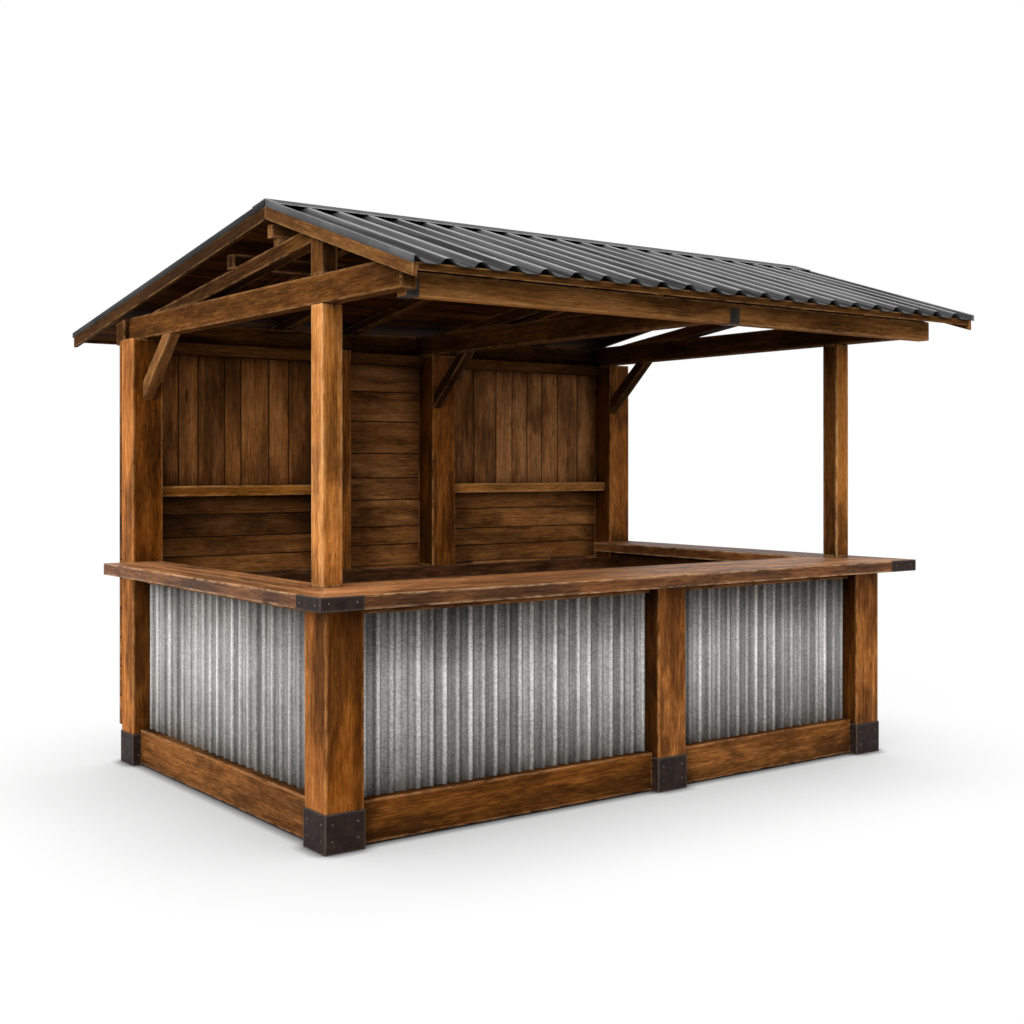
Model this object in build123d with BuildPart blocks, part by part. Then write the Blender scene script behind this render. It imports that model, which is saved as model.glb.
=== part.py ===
from build123d import *
import os

os.makedirs("parts", exist_ok=True)

# Open market stall: a boarded base with corrugated sides, a counter on three sides,
# a boarded back wall and a timber roof frame under corrugated sheets.
# Millimetres. The origin is on the floor, in the middle of the whole stall's outline.

# base
base_length = 3550
base_depth = 2300
front_post = 185
middle_post_from_left = 1865
back_post_width = 170
back_post_depth = 165
back_middle_left_from_left = 1178
back_middle_right_from_left = 1930
shoe_height = 170
shoe_plate = 4
rail_gap = 8
rail_top = 193
rail_recess = 40
rail_thickness = 90
top_rail_height = 35
top_rail_recess = 60
lining_thickness = 20
panel_recess = 88
panel_pitch_front = 70
panel_pitch_end = 84
panel_depth = 15
sheet_thickness = 3

# counter
counter_height = 1100
counter_thickness = 60
counter_left_overhang = 162
counter_front_overhang = 252
counter_inner_edge = 273
end_counter_width = 312
bracket_arm = 200
bracket_plate = 4

# back wall
wall_board = 35
wall_foot = 200
ledge_below_counter = 96
ledge_thickness = 76
ledge_reach = 87
shelf_bottom = 1448
shelf_thickness = 59
shelf_width = 115
plate_depth = 69
plate_width = 65

# upper posts and tie beams
upper_post = 100
upper_post_from_left = 55
upper_post_from_right = 100
upper_post_from_front = 130
tie_bottom = 2310
tie_height = 125
tie_width = 75
tie_front_reach = 500
brace_depth = 100
brace_thickness = 60
brace_drop = 335
brace_reach = 375

# roof
ridge_from_front = 560
roof_rise = 400
eave_above_tie = 75
roof_front_overhang = 680
roof_back_overhang = 800
roof_right_inset = 70
rib_count = 22
rib_height = 25
rib_base = 74
rib_crest = 30
verge_leg = 24
ridge_gap = 4
open_joint = 1
sarking = 20
rafter_depth = 55
rafter_width = 45
barge_thickness = 25
barge_depth = 64
barge_toe = 58
fascia_thickness = 20
fascia_depth = 28
fascia_setback = 15
eave_beam_drop = 17
eave_beam_thickness = 70
eave_beam_reach = 420
back_beam_drop = 20
back_beam_thickness = 110
back_beam_end = 30
ridge_beam_width = 45
ridge_beam_height = 60
chord_foot_from_front = 1420
chord_toe_from_front = 2020
chord_head_depth = 68
chord_head_gap = 8
purlin_from_front = 1000
purlin_width = 70
cap_leg = 130
cap_plate = 3
cap_clearance = 1
strap_width = 60
strap_plate = 3
strap_leg = 70
strap_offset = 8

# places of the main faces, from the origin
left = -(base_length + counter_left_overhang) / 2 + counter_left_overhang
right = left + base_length
front = -(roof_front_overhang + base_depth + roof_back_overhang) / 2 + roof_front_overhang
back = front + base_depth
counter_bottom = counter_height - counter_thickness
ledge_top = counter_height - ledge_below_counter
back_post_front = back - back_post_depth
plate_bottom = tie_bottom - plate_depth
tie_top = tie_bottom + tie_height
eave_height = tie_bottom + eave_above_tie
ridge_height = eave_height + roof_rise
eave_beam_bottom = tie_bottom - eave_beam_drop
back_beam_bottom = tie_bottom - back_beam_drop
wall_outside = back + wall_board

middle_post_left = left + middle_post_from_left
middle_post_right = middle_post_left + front_post
back_middle_left = left + back_middle_left_from_left
back_middle_right = left + back_middle_right_from_left
back_post_lefts = [left, back_middle_left, back_middle_right, right - back_post_width]
bays = [(a + back_post_width, b) for a, b in zip(back_post_lefts, back_post_lefts[1:])]

left_post_x = left + upper_post_from_left
right_post_x = right - upper_post_from_right - upper_post
upper_post_y = front + upper_post_from_front
left_tie = (left_post_x, left_post_x + tie_width)
middle_tie = (back_middle_right, back_middle_right + tie_width)
right_tie = (right_post_x + upper_post - tie_width, right_post_x + upper_post)
ties = [left_tie, middle_tie, right_tie]

ridge_y = front + ridge_from_front
front_eave = front - roof_front_overhang
back_eave = back + roof_back_overhang
roof_left = left
roof_right = right - roof_right_inset
front_pitch = (ridge_height - eave_height) / (ridge_y - front_eave)
back_pitch = (ridge_height - eave_height) / (back_eave - ridge_y)
under_sarking = sheet_thickness + sarking
under_rafter = under_sarking + rafter_depth
eave_beam_front = front - eave_beam_reach
eave_beam_back = eave_beam_front + eave_beam_thickness
back_beam_outside = wall_outside + back_beam_thickness
fascia_back = fascia_setback + fascia_thickness


def roof_at(y, below=0):
    """Height of the roofing between its ribs over y, less a vertical distance."""
    if y < ridge_y:
        return ridge_height - front_pitch * (ridge_y - y) - below
    return ridge_height - back_pitch * (y - ridge_y) - below


def finish(piece, name):
    piece.part.label = name
    export_step(piece.part, f"parts/{name}.step")


def timbers(name, bars):
    """Square-cut bars, each given by its limits along X, Y and Z, as one named piece."""
    with BuildPart() as piece:
        for x0, x1, y0, y1, z0, z1 in bars:
            with BuildSketch(Plane.XY.offset(z0)):
                with Locations((x0, y0)):
                    Rectangle(x1 - x0, y1 - y0, align=(Align.MIN, Align.MIN))
            extrude(amount=z1 - z0)
    finish(piece, name)


def boards_on_edge(name, outlines):
    """Pieces with an outline in the YZ plane, each given with its limits along X."""
    with BuildPart() as piece:
        for (x0, x1), outline in outlines:
            with BuildSketch(Plane.YZ.offset(x0)):
                Polygon(*outline, align=None)
            extrude(amount=x1 - x0)
    finish(piece, name)


def slope_band(y0, y1, upper, lower):
    """Outline of a layer that follows the roof from y0 to y1 at two depths below it."""
    over = [(y0, roof_at(y0, upper)), (y1, roof_at(y1, upper))]
    under = [(y1, roof_at(y1, lower)), (y0, roof_at(y0, lower))]
    return over + under


# posts of the base, and the two that stand on the counter
for name, x in (
    ("front_left_lower_post", left),
    ("front_middle_lower_post", middle_post_left),
    ("front_right_lower_post", right - front_post),
):
    timbers(name, [(x, x + front_post, front, front + front_post, shoe_plate, counter_bottom)])

timbers(
    "front_upper_posts",
    [
        (x, x + upper_post, upper_post_y, upper_post_y + upper_post, counter_height, tie_bottom)
        for x in (left_post_x, right_post_x)
    ],
)

# back posts run from their shoes to the tie beams
for name, xs in (
    ("back_left_post", back_post_lefts[:1]),
    ("back_middle_posts", back_post_lefts[1:3]),
    ("back_right_post", back_post_lefts[3:]),
):
    timbers(name, [(x, x + back_post_width, back_post_front, back, shoe_plate, tie_bottom) for x in xs])

# steel shoes: a square cup under each post of the base
post_feet = [(x, front, front_post, front_post) for x in (left, middle_post_left, right - front_post)]
post_feet += [(x, back_post_front, back_post_width, back_post_depth) for x in back_post_lefts]
with BuildPart() as shoes:
    for x, y, width, depth in post_feet:
        with BuildSketch():
            with Locations((x - shoe_plate, y - shoe_plate)):
                Rectangle(width + 2 * shoe_plate, depth + 2 * shoe_plate, align=(Align.MIN, Align.MIN))
        extrude(amount=shoe_height)
    for x, y, width, depth in post_feet:
        with BuildSketch(Plane.XY.offset(shoe_plate)):
            with Locations((x, y)):
                Rectangle(width, depth, align=(Align.MIN, Align.MIN))
        extrude(amount=shoe_height, mode=Mode.SUBTRACT)
finish(shoes, "post_shoes")

# bottom rails stand clear of the floor between the shoes
front_spans = [(left + front_post, middle_post_left), (middle_post_right, right - front_post)]
end_span = (front + front_post, back_post_front)
inner_face = rail_recess + rail_thickness
timbers(
    "front_bottom_rails",
    [
        (a + shoe_plate, b - shoe_plate, front + rail_recess, front + inner_face, rail_gap, rail_top)
        for a, b in front_spans
    ],
)
timbers(
    "end_bottom_rails",
    [
        (x, x + rail_thickness, end_span[0] + shoe_plate, end_span[1] - shoe_plate, rail_gap, rail_top)
        for x in (left + rail_recess, right - rail_recess - rail_thickness)
    ],
)
timbers(
    "back_bottom_rails",
    [(a + shoe_plate, b - shoe_plate, back - rail_thickness, back, rail_gap, rail_top) for a, b in bays],
)

# top rails close the sides under the counter
top_rail_bottom = counter_bottom - top_rail_height
top_rail_lines = [(a, b, front + top_rail_recess, front + inner_face) for a, b in front_spans]
top_rail_lines.append((left + top_rail_recess, left + inner_face, *end_span))
top_rail_lines.append((right - inner_face, right - top_rail_recess, *end_span))
timbers("top_rails", [(*limits, top_rail_bottom, counter_bottom) for limits in top_rail_lines])

# boards that line the base on the seller's side, above the bottom rails
lining_face = inner_face + lining_thickness
lining_lines = [(a, b, front + inner_face, front + lining_face) for a, b in front_spans]
lining_lines.append((left + inner_face, left + lining_face, *end_span))
lining_lines.append((right - lining_face, right - inner_face, *end_span))
timbers("inner_lining", [(*limits, rail_top, counter_bottom) for limits in lining_lines])


def corrugated_panels(name, walls, pitch):
    """Upright corrugated sheets; each wall gives a corner, its direction and its length."""
    near = (panel_depth - sheet_thickness) / 2
    far = near + sheet_thickness
    with BuildPart() as piece:
        for corner, along, length in walls:
            waves = max(1, round(length / pitch))
            half = length / waves / 2
            with BuildSketch(Plane(origin=corner, x_dir=along, z_dir=(0, 0, 1))):
                with BuildLine():
                    for middle in (near, far):
                        for i in range(2 * waves):
                            crest = middle + (near if i % 2 else -near)
                            ThreePointArc(
                                (i * half, middle),
                                ((i + 0.5) * half, crest),
                                ((i + 1) * half, middle),
                            )
                    for x in (0, length):
                        Line((x, near), (x, far))
                make_face()
            extrude(amount=top_rail_bottom - rail_top)
    finish(piece, name)


corrugated_panels(
    "front_panels",
    [((a, front + panel_recess, rail_top), (1, 0, 0), b - a) for a, b in front_spans],
    panel_pitch_front,
)
end_length = end_span[1] - end_span[0]
corrugated_panels(
    "end_panels",
    [
        ((left + panel_recess, end_span[1], rail_top), (0, -1, 0), end_length),
        ((right - panel_recess, end_span[0], rail_top), (0, 1, 0), end_length),
    ],
    panel_pitch_end,
)

# counter: a wide front top between two narrower end tops, with mitred corners
counter_front = front - counter_front_overhang
counter_back = front + counter_inner_edge
left_outer = left - counter_left_overhang
left_inner = left_outer + end_counter_width
right_inner = right - end_counter_width
counter_outlines = {
    "front_counter": [
        (left_outer, counter_front),
        (right, counter_front),
        (right_inner, counter_back),
        (left_inner, counter_back),
    ],
    "left_counter": [
        (left_outer, counter_front),
        (left_inner, counter_back),
        (left_inner, back_post_front),
        (left_outer, back_post_front),
    ],
    "right_counter": [
        (right, counter_front),
        (right, back_post_front),
        (right_inner, back_post_front),
        (right_inner, counter_back),
    ],
}
for name, outline in counter_outlines.items():
    with BuildPart() as piece:
        with BuildSketch(Plane.XY.offset(counter_bottom)):
            Polygon(*outline, align=None)
        extrude(amount=counter_thickness)
    finish(piece, name)

# steel angles wrap the counter's two front corners
with BuildPart() as brackets:
    for x, way in ((left_outer, 1), (right, -1)):
        with BuildSketch(Plane.XY.offset(counter_bottom)):
            Polygon(
                (x - way * bracket_plate, counter_front - bracket_plate),
                (x + way * bracket_arm, counter_front - bracket_plate),
                (x + way * bracket_arm, counter_front),
                (x, counter_front),
                (x, counter_front + bracket_arm),
                (x - way * bracket_plate, counter_front + bracket_arm),
                align=None,
            )
        extrude(amount=counter_thickness)
finish(brackets, "counter_brackets")

# ledge along the back, notched round the posts
with BuildPart() as ledge:
    with BuildSketch(Plane.XY.offset(ledge_top - ledge_thickness)):
        with Locations((left + lining_face, back_post_front - ledge_reach)):
            Rectangle(
                base_length - 2 * lining_face,
                ledge_reach + back_post_depth,
                align=(Align.MIN, Align.MIN),
            )
        for x in back_post_lefts:
            with Locations((x, back_post_front)):
                Rectangle(
                    back_post_width,
                    back_post_depth,
                    align=(Align.MIN, Align.MIN),
                    mode=Mode.SUBTRACT,
                )
    extrude(amount=ledge_thickness)
finish(ledge, "back_ledge")

# boards of the back wall, fixed to the outside of the posts
left_joint = back_middle_left + back_post_width / 2
right_joint = back_middle_right + back_post_width / 2
shelf_middle = shelf_bottom + shelf_thickness / 2
for name, x0, x1, z0, z1 in (
    ("left_wall_lower_boards", left, left_joint, wall_foot, shelf_middle),
    ("left_wall_upper_boards", left, left_joint, shelf_middle, tie_bottom),
    ("middle_wall_boards", left_joint, right_joint, wall_foot, tie_bottom),
    ("right_wall_lower_boards", right_joint, right, wall_foot, shelf_middle),
    ("right_wall_upper_boards", right_joint, right, shelf_middle, tie_bottom),
):
    timbers(name, [(x0, x1, back, wall_outside, z0, z1)])

# narrow shelves in the two wide bays, and the plate between the posts' heads
shelf_top = shelf_bottom + shelf_thickness
timbers(
    "back_shelves",
    [(a, b, back - shelf_width, back, shelf_bottom, shelf_top) for a, b in (bays[0], bays[2])],
)
timbers("back_top_plates", [(a, b, back - plate_width, back, plate_bottom, tie_bottom) for a, b in bays])

# tie beams lie on the posts; the left one runs out past the front eave beam, cut to the roof
bevel_y = ridge_y - (ridge_height - under_sarking - tie_top) / front_pitch
left_tie_front = front - tie_front_reach
left_tie_outline = [
    (left_tie_front, tie_bottom),
    (wall_outside, tie_bottom),
    (wall_outside, tie_top),
    (bevel_y, tie_top),
    (left_tie_front, roof_at(left_tie_front, under_sarking)),
]
plain_tie_outline = [
    (eave_beam_back, tie_bottom),
    (wall_outside, tie_bottom),
    (wall_outside, tie_top),
    (eave_beam_back, tie_top),
]
boards_on_edge("left_tie_beam", [(left_tie, left_tie_outline)])
boards_on_edge("middle_tie_beam", [(middle_tie, plain_tie_outline)])
boards_on_edge("right_tie_beam", [(right_tie, plain_tie_outline)])

# knee braces from the back posts up to the ties
brace_outline = [
    (back_post_front, tie_bottom - brace_drop),
    (back_post_front, tie_bottom - brace_drop + brace_depth),
    (back_post_front - brace_reach + brace_depth, tie_bottom),
    (back_post_front - brace_reach, tie_bottom),
]
boards_on_edge("knee_braces", [((a, a + brace_thickness), brace_outline) for a, b in ties])

# on each tie a strut above the front post and a raking chord behind it
strut_back = upper_post_y + upper_post
strut_outline = [
    (upper_post_y, tie_top),
    (strut_back, tie_top),
    (strut_back, roof_at(strut_back, under_sarking)),
    (upper_post_y, roof_at(upper_post_y, under_sarking)),
]
chord_head = roof_at(strut_back, under_sarking) - chord_head_gap
chord_foot = front + chord_foot_from_front
chord_toe = front + chord_toe_from_front
chord_front = strut_back + open_joint
chord_slope = (chord_head - tie_top) / (chord_toe - chord_front)


def chord_top(y):
    return chord_head - chord_slope * (y - chord_front)


chord_outline = [
    (chord_front, chord_head - chord_head_depth),
    (chord_front, chord_head),
    (chord_toe, tie_top),
    (chord_foot, tie_top),
]

# ridge beam on short blocks over the chords
ridge_front = ridge_y - ridge_beam_width / 2
ridge_back = ridge_y + ridge_beam_width / 2
ridge_beam_top = roof_at(ridge_front, under_rafter)
ridge_beam_bottom = ridge_beam_top - ridge_beam_height
block_outline = [
    (ridge_front, chord_top(ridge_front) + open_joint),
    (ridge_back, chord_top(ridge_back) + open_joint),
    (ridge_back, ridge_beam_bottom),
    (ridge_front, ridge_beam_bottom),
]
boards_on_edge(
    "truss_members",
    [(tie, outline) for tie in ties for outline in (strut_outline, chord_outline, block_outline)],
)
board_limits = (roof_left + barge_thickness, roof_right - barge_thickness)
timbers(
    "ridge_beam",
    [(*board_limits, ridge_front, ridge_back, ridge_beam_bottom, ridge_beam_top)],
)

# purlin on the chords, under the back rafters
purlin_y = front + purlin_from_front
purlin_top = roof_at(purlin_y + purlin_width, under_rafter)
timbers(
    "back_purlin",
    [(left_tie[0], right_tie[1], purlin_y, purlin_y + purlin_width, chord_top(purlin_y), purlin_top)],
)

# rafters between the ties, on the ridge beam and the eave beams
rafter_lines = []
for (a, b), count in (((left_tie, middle_tie), 3), ((middle_tie, right_tie), 2)):
    start = a[1]
    gap = (b[0] - start - count * rafter_width) / (count + 1)
    rafter_lines += [start + gap * (i + 1) + rafter_width * i for i in range(count)]
rafter_spans = [(x, x + rafter_width) for x in rafter_lines]
front_rafter = slope_band(eave_beam_front, ridge_y - open_joint, under_sarking, under_rafter)
back_rafter = slope_band(ridge_y + open_joint, back_eave - fascia_back, under_sarking, under_rafter)
boards_on_edge(
    "rafters", [(span, outline) for span in rafter_spans for outline in (front_rafter, back_rafter)]
)

# eave beams
front_beam_outline = [
    (eave_beam_front, eave_beam_bottom),
    (eave_beam_back, eave_beam_bottom),
    (eave_beam_back, roof_at(eave_beam_back, under_rafter)),
    (eave_beam_front, roof_at(eave_beam_front, under_rafter)),
]
back_beam_outline = [
    (wall_outside, back_beam_bottom),
    (back_beam_outside, back_beam_bottom),
    (back_beam_outside, roof_at(back_beam_outside, under_rafter)),
    (wall_outside, roof_at(wall_outside, under_rafter)),
]
boards_on_edge("front_eave_beam", [((left_tie[1], right_tie[1]), front_beam_outline)])
back_beam_limits = (left_tie[0] - back_beam_end, right_tie[1] + back_beam_end)
boards_on_edge("back_eave_beam", [(back_beam_limits, back_beam_outline)])

# roof boards, one flat field on each slope
front_boards = slope_band(front_eave + fascia_back, ridge_y, sheet_thickness, under_sarking)
back_boards = slope_band(ridge_y, back_eave - fascia_back, sheet_thickness, under_sarking)
boards_on_edge("front_roof_boards", [(board_limits, front_boards)])
boards_on_edge("back_roof_boards", [(board_limits, back_boards)])

# barge boards on the gables and a thin fascia along each eave
barge_front = front_eave + fascia_setback
barge_back = back_eave - fascia_setback
barge_outlines = [
    [
        (barge_front, roof_at(barge_front, sheet_thickness)),
        (ridge_y - open_joint, roof_at(ridge_y - open_joint, sheet_thickness)),
        (ridge_y - open_joint, roof_at(ridge_y - open_joint, barge_depth)),
        (barge_front, roof_at(barge_front, barge_toe)),
    ],
    slope_band(ridge_y + open_joint, barge_back, sheet_thickness, barge_depth),
]
barge_spans = [
    (roof_left + sheet_thickness, roof_left + barge_thickness),
    (roof_right - barge_thickness, roof_right - sheet_thickness),
]
boards_on_edge("barge_boards", [(span, outline) for span in barge_spans for outline in barge_outlines])
front_fascia = slope_band(barge_front, front_eave + fascia_back, sheet_thickness, fascia_depth)
back_fascia = slope_band(back_eave - fascia_back, barge_back, sheet_thickness, fascia_depth)
boards_on_edge("eave_fascias", [(board_limits, front_fascia), (board_limits, back_fascia)])

# ribbed roof sheets, with half a rib turned down at each verge
roof_width = roof_right - roof_left
rib_pitch = roof_width / rib_count
rib_run = (rib_base - rib_crest) / 2


def rib_line(drop):
    """Points of the ribbed surface, on its upper or under side, from half a rib to half a rib."""
    points = []
    for i in range(rib_count + 1):
        middle = i * rib_pitch - roof_width / 2
        points += [
            (middle - rib_base / 2, -drop),
            (middle - rib_crest / 2, rib_height - drop),
            (middle + rib_crest / 2, rib_height - drop),
            (middle + rib_base / 2, -drop),
        ]
    return points[2:-2]


def roof_sheet(name, eave, across):
    """Sheet from just short of the ridge down to the eave; across is +1 or -1 along X."""
    side = 1 if eave > ridge_y else -1
    top = Vector((roof_left + roof_right) / 2, ridge_y, ridge_height)
    foot = Vector(top.X, eave, roof_at(eave))
    down = foot - top
    plate = sheet_thickness * abs(eave - ridge_y) / down.length
    half = roof_width / 2
    spare = down.normalized() * 2 * verge_leg
    outline = [(-half, -verge_leg), (-half, rib_height), *rib_line(0), (half, rib_height)]
    outline.append((half, -verge_leg))
    inner = half - sheet_thickness
    under = rib_height - plate
    outline += [(inner, -verge_leg), (inner, under)]
    outline += [*reversed(rib_line(plate)), (-inner, under), (-inner, -verge_leg)]
    with BuildPart() as piece:
        with BuildSketch(Plane(origin=top - spare, x_dir=(across, 0, 0), z_dir=down)):
            Polygon(*outline, align=None)
        extrude(amount=down.length + 4 * verge_leg)
        split(bisect_by=Plane(origin=(0, ridge_y + side * ridge_gap, 0), z_dir=(0, side, 0)))
        split(bisect_by=Plane(origin=(0, eave, 0), z_dir=(0, -side, 0)))
    finish(piece, name)


roof_sheet("front_roof_sheet", front_eave, 1)
roof_sheet("back_roof_sheet", back_eave, -1)

# bent cap over the ridge, resting on the ribs
steepest = max(front_pitch, back_pitch)
cap_rise = rib_height * (1 + steepest**2) ** 0.5 + cap_clearance
cap_front = ridge_y - cap_leg
cap_back = ridge_y + cap_leg
cap_outline = [
    (cap_front, roof_at(cap_front, -cap_rise)),
    (ridge_y, roof_at(ridge_y, -cap_rise)),
    (cap_back, roof_at(cap_back, -cap_rise)),
    (cap_back, roof_at(cap_back, -cap_rise - cap_plate)),
    (ridge_y, roof_at(ridge_y, -cap_rise - cap_plate)),
    (cap_front, roof_at(cap_front, -cap_rise - cap_plate)),
]
boards_on_edge("ridge_cap", [((roof_left, roof_right), cap_outline)])

# steel straps under the front eave beam at the left and middle ties
strap_top = eave_beam_bottom + strap_leg
strap_outline = [
    (eave_beam_front, strap_top),
    (eave_beam_front - strap_plate, strap_top),
    (eave_beam_front - strap_plate, eave_beam_bottom - strap_plate),
    (eave_beam_back, eave_beam_bottom - strap_plate),
    (eave_beam_back, eave_beam_bottom),
    (eave_beam_front, eave_beam_bottom),
]
strap_lines = [left_tie[1], middle_tie[0] + strap_offset]
boards_on_edge("eave_straps", [((x, x + strap_width), strap_outline) for x in strap_lines])
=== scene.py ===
import math
import random

import bmesh
import bpy
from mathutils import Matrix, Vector, noise


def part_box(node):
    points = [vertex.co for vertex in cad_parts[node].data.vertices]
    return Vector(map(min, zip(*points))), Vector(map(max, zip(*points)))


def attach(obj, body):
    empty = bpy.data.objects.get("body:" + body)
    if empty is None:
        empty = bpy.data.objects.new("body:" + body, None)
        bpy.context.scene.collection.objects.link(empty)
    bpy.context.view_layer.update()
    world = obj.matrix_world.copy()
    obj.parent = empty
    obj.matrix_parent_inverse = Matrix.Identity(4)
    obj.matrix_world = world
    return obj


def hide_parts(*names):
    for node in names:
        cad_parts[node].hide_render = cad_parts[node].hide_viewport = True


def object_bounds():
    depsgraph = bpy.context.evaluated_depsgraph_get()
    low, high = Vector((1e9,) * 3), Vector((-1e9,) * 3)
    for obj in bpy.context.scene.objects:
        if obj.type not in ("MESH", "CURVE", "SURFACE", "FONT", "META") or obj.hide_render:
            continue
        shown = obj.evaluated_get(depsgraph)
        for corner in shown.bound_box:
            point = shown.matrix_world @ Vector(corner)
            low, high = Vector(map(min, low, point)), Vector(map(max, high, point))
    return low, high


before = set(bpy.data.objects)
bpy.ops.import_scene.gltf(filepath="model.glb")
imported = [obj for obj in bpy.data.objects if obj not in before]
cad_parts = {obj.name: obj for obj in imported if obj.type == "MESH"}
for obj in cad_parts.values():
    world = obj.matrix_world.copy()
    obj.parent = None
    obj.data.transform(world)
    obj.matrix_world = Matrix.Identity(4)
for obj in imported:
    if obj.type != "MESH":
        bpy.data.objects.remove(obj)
cad_low, cad_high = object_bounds()
scene = bpy.context.scene
scene.view_settings.view_transform = "Standard"


# The view: a level camera at eye height, well off the near left corner.
# The lens is shifted a little, so the whole stall sits in the square picture.
eye = Vector((-4.458, -6.237, 1.617))
turned_right = math.radians(36.542)
lens_mm = 48.24
sensor_mm = 36
shift_down = -0.0448

view = bpy.data.cameras.new("view")
view.lens = lens_mm
view.sensor_width = sensor_mm
view.shift_y = shift_down
camera = bpy.data.objects.new("view", view)
camera.location = eye
camera.rotation_euler = (math.radians(90), 0, -turned_right)
scene.collection.objects.link(camera)
scene.camera = camera


# The studio: a pale floor that runs out to a white surround, one soft lamp on
# the left, and a wide sky that is brightest on that side and fills the shadows.
lamp_from = Vector((-0.84, -0.45, 0.27)).normalized()
lamp_strength = 1.45
lamp_spread = math.radians(24)
lamp_colour = (1.0, 0.975, 0.94)
sky_from = Vector((-0.64, -0.50, 0.50)).normalized()
sky_edge = -0.25
sky_low = 0.15
sky_high = 1.25
floor_half = 60.0
floor_shade = 0.10
floor_glow = 0.93
floor_bounce = (0.55, 0.54, 0.52, 1)
# How far and how deep the floor's painted shadows reach.
shadow_reach = 1.25
shadow_depth = 0.6
contact_shadow_reach = 0.07
contact_shadow_depth = 2.2


def wire(tree, kind, settings=None, **inputs):
    """Adds a node; each input takes a plain value or another node's output."""
    made = tree.nodes.new(kind)
    for key, value in (settings or {}).items():
        setattr(made, key, value)
    for key, value in inputs.items():
        number = key[2:]
        socket = made.inputs[int(number) if key.startswith("i_") else key.replace("_", " ")]
        if isinstance(value, bpy.types.NodeSocket):
            tree.links.new(value, socket)
        else:
            socket.default_value = value
    return made


def new_material(name):
    """A material with an empty node tree, and that tree."""
    finish = bpy.data.materials.new(name)
    finish.use_nodes = True
    finish.node_tree.nodes.clear()
    return finish, finish.node_tree


def maths(tree, operation, first, second=0.5, clamp=False):
    """The result of one operation on two values."""
    settings = {"operation": operation, "use_clamp": clamp}
    return wire(tree, "ShaderNodeMath", settings, i_0=first, i_1=second).outputs[0]


def rescaled(tree, value, from_low, from_high, to_low, to_high, **settings):
    """A value brought from one range to another."""
    return wire(
        tree,
        "ShaderNodeMapRange",
        settings,
        Value=value,
        From_Min=from_low,
        From_Max=from_high,
        To_Min=to_low,
        To_Max=to_high,
    ).outputs[0]


def seen_by_eye(tree):
    """1 for camera, mirror and glass rays, which see the white surround; else 0."""
    path = wire(tree, "ShaderNodeLightPath").outputs
    either = maths(tree, "MAXIMUM", path["Is Camera Ray"], path["Is Glossy Ray"])
    return maths(tree, "MAXIMUM", either, path["Is Transmission Ray"])


surround = bpy.data.worlds.new("surround")
surround.use_nodes = True
scene.world = surround
sky = surround.node_tree
sky.nodes.clear()
seen = seen_by_eye(sky)
way = wire(sky, "ShaderNodeTexCoord").outputs["Generated"]
toward = wire(
    sky, "ShaderNodeVectorMath", {"operation": "DOT_PRODUCT"}, i_0=way, i_1=sky_from
).outputs["Value"]
level = rescaled(
    sky, toward, sky_edge, 1.0, sky_low, sky_high, interpolation_type="SMOOTHSTEP"
)
fill = wire(sky, "ShaderNodeBackground", Color=(1, 1, 1, 1), Strength=level)
white = wire(sky, "ShaderNodeBackground", Color=(1, 1, 1, 1), Strength=1.0)
choice = wire(sky, "ShaderNodeMixShader", i_0=seen, i_1=fill.outputs[0], i_2=white.outputs[0])
wire(sky, "ShaderNodeOutputWorld", Surface=choice.outputs[0])

lamp = bpy.data.lights.new("studio_lamp", "SUN")
lamp.energy = lamp_strength
lamp.angle = lamp_spread
lamp.color = lamp_colour
lamp_stand = bpy.data.objects.new("studio_lamp", lamp)
lamp_stand.rotation_euler = lamp_from.to_track_quat("Z", "Y").to_euler()
scene.collection.objects.link(lamp_stand)

paper, tree = new_material("pale_floor")
matt = wire(tree, "ShaderNodeBsdfDiffuse", Color=(floor_shade, floor_shade, floor_shade, 1))
# The floor's glow is darkened by ambient occlusion: a painted soft shadow around the stall and a
# painted contact shadow right under it.
open_sky = wire(tree, "ShaderNodeAmbientOcclusion", {"samples": 12}, Distance=shadow_reach)
soft = maths(tree, "POWER", open_sky.outputs["AO"], shadow_depth)
contact = wire(tree, "ShaderNodeAmbientOcclusion", {"samples": 8}, Distance=contact_shadow_reach)
painted_contact_shadow = maths(tree, "POWER", contact.outputs["AO"], contact_shadow_depth)
strength = maths(tree, "MULTIPLY", maths(tree, "MULTIPLY", soft, painted_contact_shadow), floor_glow)
glow = wire(tree, "ShaderNodeEmission", Color=(1, 1, 1, 1), Strength=strength)
lit = wire(tree, "ShaderNodeAddShader", i_0=matt.outputs[0], i_1=glow.outputs[0])
bounce = wire(tree, "ShaderNodeBsdfDiffuse", Color=floor_bounce)
whole = wire(
    tree, "ShaderNodeMixShader", i_0=seen_by_eye(tree), i_1=bounce.outputs[0], i_2=lit.outputs[0]
)
wire(tree, "ShaderNodeOutputMaterial", Surface=whole.outputs[0])

sheet = bmesh.new()
corners = [(x * floor_half, y * floor_half) for x, y in ((-1, -1), (1, -1), (1, 1), (-1, 1))]
sheet.faces.new([sheet.verts.new((x, y, cad_low[2])) for x, y in corners])
floor_mesh = bpy.data.meshes.new("studio_floor")
sheet.to_mesh(floor_mesh)
sheet.free()
floor_mesh.materials.append(paper)
floor = bpy.data.objects.new("studio_floor", floor_mesh)
scene.collection.objects.link(floor)


# The base posts: square sawn softwood, planed, its arrises eased with a block
# plane, brushed with dark stain, each post's left side in a tone of its own as
# painted light and shade. They stand in the shoes and carry the counter.
EASED = 0.004
MARGIN = 0.011
NARROW = 2.6
CUT_STEP = 0.35
CUT_TOLERANCE = 1e-6
STRAY = 0.0007
STRAY_SCALE = 1.7
SKIN_DEPTH = 0.0024
MERGE = 0.00002
FLAT_ANGLE = 0.01
STEEP = 0.7
LEFT = (-1, 0, 0)
RIGHT = (1, 0, 0)
FORWARD = (0, -1, 0)
BACK = (0, 1, 0)
UP = (0, 0, 1)
SEED = 41
draw = random.Random(SEED)
noise.seed_set(SEED)


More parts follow.
